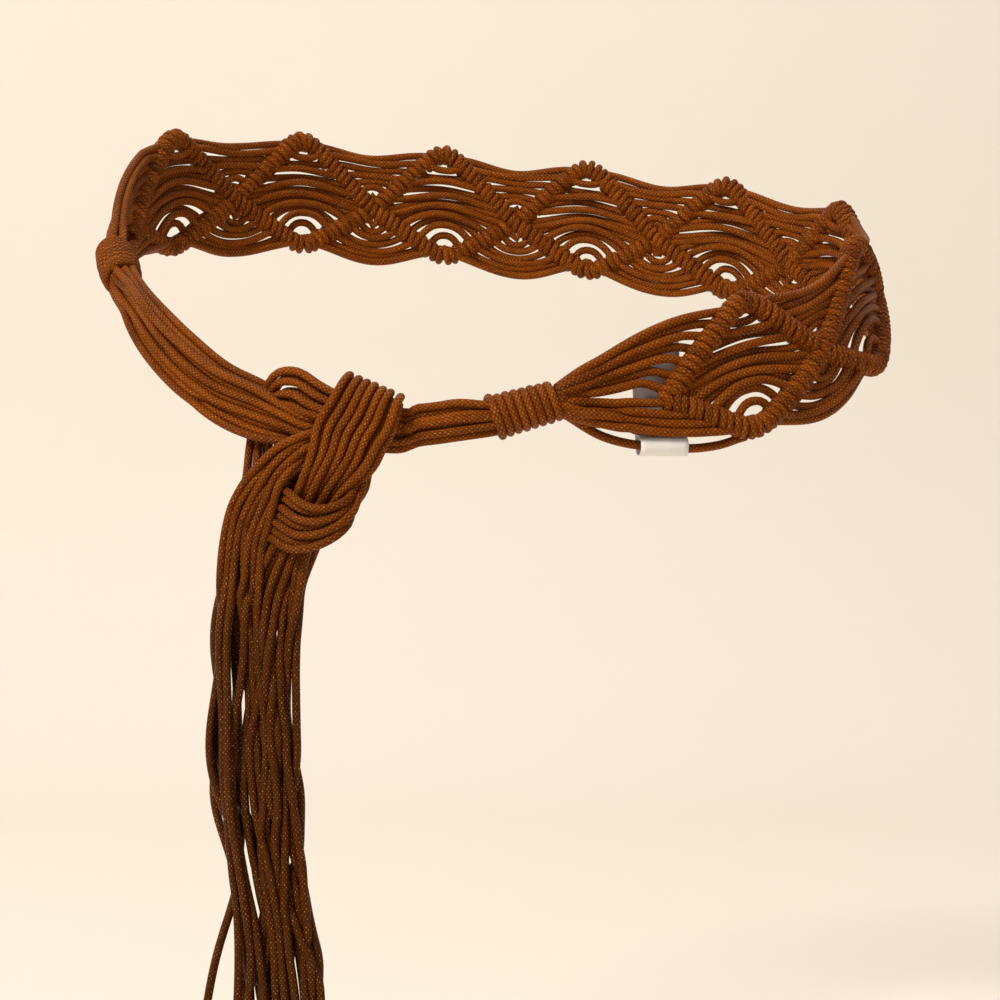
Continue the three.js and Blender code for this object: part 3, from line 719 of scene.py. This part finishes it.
def run_cords(rows, sway, shares):
    """Cords side by side along rows of edges, in two or three layers where room is short.

    Gives the cords' points as (sample, cord, xyz) and each row's sample."""
    STEP = 2.2  # millimetres between samples
    TWO_LAYERS, THREE_LAYERS = 1.3, 2.4  # how far out of the middle they lie
    a = np.array([row[0] for row in rows])
    b = np.array([row[1] for row in rows])
    steps = np.linalg.norm(np.diff((a + b) / 2, axis=0), axis=1)
    at_rows = np.concatenate([[0], np.cumsum(steps)])
    at = np.linspace(0, at_rows[-1], int(at_rows[-1] / STEP))
    a = through(list(zip(at_rows, a)), at)
    b = through(list(zip(at_rows, b)), at)
    tangent = unit(np.gradient((a + b) / 2, axis=0))
    width = np.linalg.norm(b - a, axis=1)[:, None]
    side = (b - a) / width
    outward = unit(np.cross(tangent, side))
    shares = np.array(shares)
    count = len(shares)
    loose = np.interp(at, at_rows, sway)[:, None]
    order = np.arange(count)
    crowding = count * CORD / width
    two, three = np.clip((crowding - 1) / 0.4, 0, 1), np.clip((crowding - 1.9) / 0.4, 0, 1)
    turn_about = (-1.0) ** order
    in_three = turn_about * np.where(order % 4 < 2, 1, 0.15)
    layers = lerp(TWO_LAYERS * two * turn_about, THREE_LAYERS * in_three, three)
    strewn = rng.permutation(np.linspace(-2, 2, count))
    x = width * shares + loose * drift(count, len(at))
    y = lerp(layers, strewn, np.clip(loose - 0.6, 0, 1))
    sections = settle(np.stack([x, y + 0.3 * loose * drift(count, len(at))], axis=2))
    points = a[:, None] + side[:, None] * sections[..., :1] + outward[:, None] * sections[..., 1:]
    return points, np.searchsorted(at, at_rows)


def evenly(count):
    """Shares of a width for cords side by side."""
    return (np.arange(count) + 0.5) / count


def bundle_rows(place):
    """Edges of a bundle from inside its wrap to where it nears the knot.

    The left bundle is wide and narrows to its wrap; the right one is slimmer and sags a little."""
    RIGHT_WIDTH, LEFT_SLIMMING, RIGHT_SAG = 0.68, 0.35, 1.5
    bearing, out, side = place
    half_core = bore * 0.8

    def across(point, ahead, half):
        lift = unit(np.array([0, 0, 1.0]) - ahead[2] * ahead)
        return point + lift * half, point - lift * half

    _, direction = wrap_axis(place)
    rows = [across(wrap_end(place, side * end, -4.0), direction, half_core) for end in (0.2, -1)]
    mouth = float(arc_at(bearing)) - side * (wrap_length / 2 + 3 * CORD)
    start = float(arc_at(KNOT_AT + side * BUNDLE_START))
    width, slim, sag = (1, LEFT_SLIMMING, 0) if side < 0 else (RIGHT_WIDTH, 0, RIGHT_SAG)
    for share in (1, 0.75, 0.5, 0.25):
        arc = lerp(start, mouth, share)
        point = on_belt(arc, -sag * (1 - share), lerp(WAIST_GAP, out, share))[0]
        ahead = unit(on_belt(arc + side, 0, out)[0] - on_belt(arc - side, 0, out)[0])
        half = BUNDLE_WIDTH / 2 * width
        rows.append(across(point, ahead, half * (1 - slim * share**3)))
    return rows


def part_of(rows, low, high):
    """Rows of edges cut down to a share of their width."""
    return [(lerp(a, b, low), lerp(a, b, high)) for a, b in rows]


def knot_rows(rows):
    return [(on_knot(a), on_knot(b)) for a, b in rows]


def fringe_rows(left, right, out, behind=0):
    """Edges of one group of the fringe; behind is how far its left edge goes behind the next."""
    TOP = -50  # just under the knot, in hundredths of its span
    rows = []
    for drop, *edges in FRINGE:
        up = TOP - drop * FRINGE_LENGTH * 100 / KNOT_SPAN
        rows.append((on_knot((edges[left] - behind, up, out)), on_knot((edges[right], up, out))))
    return rows


def split(points, *cuts):
    """One run of cords cut at some samples into the routes of several pieces.

    A later piece starts one sample early and thinner, inside the end of the piece before it."""
    pieces = []
    laid = rng.uniform(0, 5, points.shape[1])
    for low, high in zip((0, *cuts), (*cuts, len(points) - 1)):
        first = max(low - 1, 0)
        radius = np.full(high + 1 - first, CORD / 2)
        radius[:low - first] *= 0.95
        pieces.append([
            (points[first:high + 1, cord], radius, laid[cord] + along(points[:, cord])[first] * MM)
            for cord in range(points.shape[1])
        ])
    return pieces


def tied_cords():
    """Both bundles through the knot and down into the fringe, cut into their pieces."""
    IN_WRAP, IN_KNOT = [0.1, 0.1], 0.35  # how loosely the cords lie
    STRAY = ("fringe_front", 7)
    STRAY_FROM, STRAY_DROP, STRAY_LEFT = -200, 55, 13
    pieces = {"bundle_left": [], "bundle_right": [], "knot": [], "fringe_front": [], "fringe_rear": []}

    def tie(bundle, knotted, hem, looseness, shares, names):
        rows = bundle + knotted + hem
        sway = IN_WRAP + [looseness] * (len(bundle) - 2) + [IN_KNOT] * len(knotted)
        points, at = run_cords(rows, sway + FRINGE_LOOSENESS, shares)
        cuts = at[len(bundle)], at[len(bundle) + len(knotted) - 1]
        for name, routes in zip(names, split(points, *cuts)):
            pieces[name] += routes

    left = bundle_rows(LEFT_WRAP) + knot_rows(LEFT_BUNDLE_END)
    tie(left, knot_rows(OVER_WRAP), fringe_rows(1, 2, 12, 6), 0.9, evenly(14),
        ("bundle_left", "knot", "fringe_rear"))
    right = bundle_rows(RIGHT_WRAP)
    names = ("bundle_right", "knot", "fringe_front")
    tie(part_of(right, 0, 0.5), knot_rows(BEHIND_LOOP), fringe_rows(0, 1, 8), 0.3, evenly(7), names)
    tie(part_of(right, 0.5, 1), knot_rows(UNDER_LOOP), fringe_rows(0, 1, 17), 0.3,
        UNDER_LOOP_SHARES, names)

    # Plain cut ends, none quite level with the next, and one that strays to the left
    for name in ("fringe_front", "fringe_rear"):
        for cord, (points, radius, laid) in enumerate(pieces[name]):
            left = len(points) - rng.integers(0, 3)
            if (name, cord) == STRAY:
                away = np.clip((STRAY_FROM - points[:, 2]) / STRAY_DROP, 0, 1) ** 1.5
                points = points - away[:, None] * [STRAY_LEFT, 0, 0]
            pieces[name][cord] = (points[:left], radius[:left], laid)
    return pieces


def slack_cord():
    """The lowest cord of the right fan, which comes forward at its end to enter the wrap."""
    RUN_ON = 1.5  # degrees into the wrap and into the last knot of the bar
    FORWARD, FORWARD_FROM, FORWARD_OVER = 2.5, 12, 2.5  # millimetres, then degrees
    bearings = np.linspace(SLACK_CORD[0][0] - RUN_ON, SLACK_CORD[-1][0] + RUN_ON, 50)
    below = BAND_HEIGHT * through(SLACK_CORD, bearings)
    out = SLACK_OUT + FORWARD * np.clip((FORWARD_FROM - bearings) / FORWARD_OVER, 0, 1)
    return [(on_waist(bearings, line_height(bearings) - below, out), LOOSE_CORD / 2)]


def label():
    """A strip of satin folded round the slack cord, both ends up behind the fan."""
    RIPPLE = 0.25
    bearings = np.array([LABEL_AT - 1, LABEL_AT, LABEL_AT + 1])
    below = BAND_HEIGHT * through(SLACK_CORD, bearings)
    before, middle, after = on_waist(bearings, line_height(bearings) - below, SLACK_OUT)
    upwards = unit(on_waist(LABEL_AT, middle[2] + LABEL_RISE, SLACK_OUT)[0] - middle)
    level = after - before
    level[2] = 0
    level = unit(level - level.dot(upwards) * upwards)
    outward = np.cross(level, upwards)
    reach = LABEL_FOLD - 0.5
    bend = np.linspace(math.pi, 2.2 * math.pi, 17)
    profile = [(-reach, LABEL_RISE - step * LABEL_RISE / 14) for step in range(14)]
    profile += [(reach * math.cos(angle), reach * math.sin(angle)) for angle in bend]
    front = -LABEL_FOLD + 1.8
    profile += [(lerp(reach * 0.6, front, 0.6), LABEL_FOLD * 1.0), (front, LABEL_FOLD * 1.7)]
    profile += [(front, lerp(LABEL_FOLD * 1.7, LABEL_RISE, step / 12)) for step in range(1, 13)]
    profile = np.array(profile)
    lengths = along(profile)
    shape = bmesh.new()
    bmesh.ops.create_grid(shape, x_segments=8, y_segments=70, size=0.5)
    for vertex in shape.verts:
        across, share = vertex.co.x, vertex.co.y + 0.5
        out, up = (np.interp(share * lengths[-1], lengths, profile[:, axis]) for axis in (0, 1))
        ripple = RIPPLE * math.sin(9 * across + 14 * share)
        point = middle + outward * (out + ripple * min(1, max(0, up / 12)))
        point = point + upwards * up + level * across * LABEL_WIDTH
        vertex.co = Vector(point * MM)
    piece = add_object("satin_label", mesh_of(shape, "satin_label"), satin_finish)
    wall = piece.modifiers.new("wall", "SOLIDIFY")
    wall.thickness = SATIN * MM
    wall.offset = 0
    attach(piece, "root")
    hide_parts("label")


def photo_camera():
    """The camera at the photograph's angle."""
    FOCAL_LENGTH = 76.03
    lens = bpy.data.cameras.new("camera")
    lens.sensor_width = 36
    lens.lens = FOCAL_LENGTH
    camera = bpy.data.objects.new("camera", lens)
    camera.location = (0.0035, -0.8, -0.076)
    camera.rotation_euler = (math.pi / 2, 0, 0)
    scene.collection.objects.link(camera)
    scene.camera = camera


def studio():
    """A pale sweep of painted board and soft light from the upper left, in metres."""
    SWEEP_REACH = 8.0
    SWEEP_BEND = 0.4  # radius where the floor turns up
    BEND_AT = 1.0
    FLOOR = -0.34
    AIM = Vector((0, 0, -0.05))
    shape = bmesh.new()
    bmesh.ops.create_grid(shape, x_segments=1, y_segments=240, size=1)
    for vertex in shape.verts:
        run = vertex.co.y * SWEEP_REACH
        bend = min(max(run / (SWEEP_BEND * math.pi / 2), 0), 1) * math.pi / 2
        past = max(run - SWEEP_BEND * math.pi / 2, 0)
        vertex.co = Vector((
            vertex.co.x * SWEEP_REACH, BEND_AT + min(run, 0) + SWEEP_BEND * math.sin(bend),
            FLOOR + SWEEP_BEND * (1 - math.cos(bend)) + past,
        ))
    sweep = add_object("sweep", mesh_of(shape, "sweep"), painted_board("matt_emulsion_board"))
    for name, place, size, power, tint in LAMPS:
        lamp = bpy.data.lights.new(name, "AREA")
        lamp.shape = "DISK"
        lamp.size = size
        lamp.energy = power
        lamp.color = tint
        light = bpy.data.objects.new(name, lamp)
        light.location = place
        light.rotation_euler = (AIM - Vector(place)).to_track_quat("-Z", "Y").to_euler()
        scene.collection.objects.link(light)
    world = bpy.data.worlds.new("soft_room")
    world.use_nodes = True
    world.node_tree.nodes["Background"].inputs["Color"].default_value = colour("fbf4ea")
    world.node_tree.nodes["Background"].inputs["Strength"].default_value = 0.32
    scene.world = world
    scene.view_settings.view_transform = "Standard"


def right_swell(share):
    """Narrower towards the fan, after a first turn that stands proud."""
    return 1 - 0.12 * share + 0.07 * (share < 0.1)


def left_swell(share):
    """Widest in the middle."""
    return 1 - 0.1 * (2 * share - 1) ** 2


cord_finish = waxed_cotton("waxed_braided_cotton")
satin_finish = satin_ribbon("polyester_satin_ribbon")
cord_piece("openwork_band", openwork_band())
cord_piece("fan_right", fan(RIGHT_WRAP))
cord_piece("fan_left", fan(LEFT_WRAP))
cord_piece("wrap_right", gathered(RIGHT_WRAP, right_swell))
cord_piece("wrap_left", gathered(LEFT_WRAP, left_swell))
for piece_name, routes in tied_cords().items():
    cord_piece(piece_name, routes)
cord_piece("slack_cord", slack_cord())
label()
photo_camera()
studio()
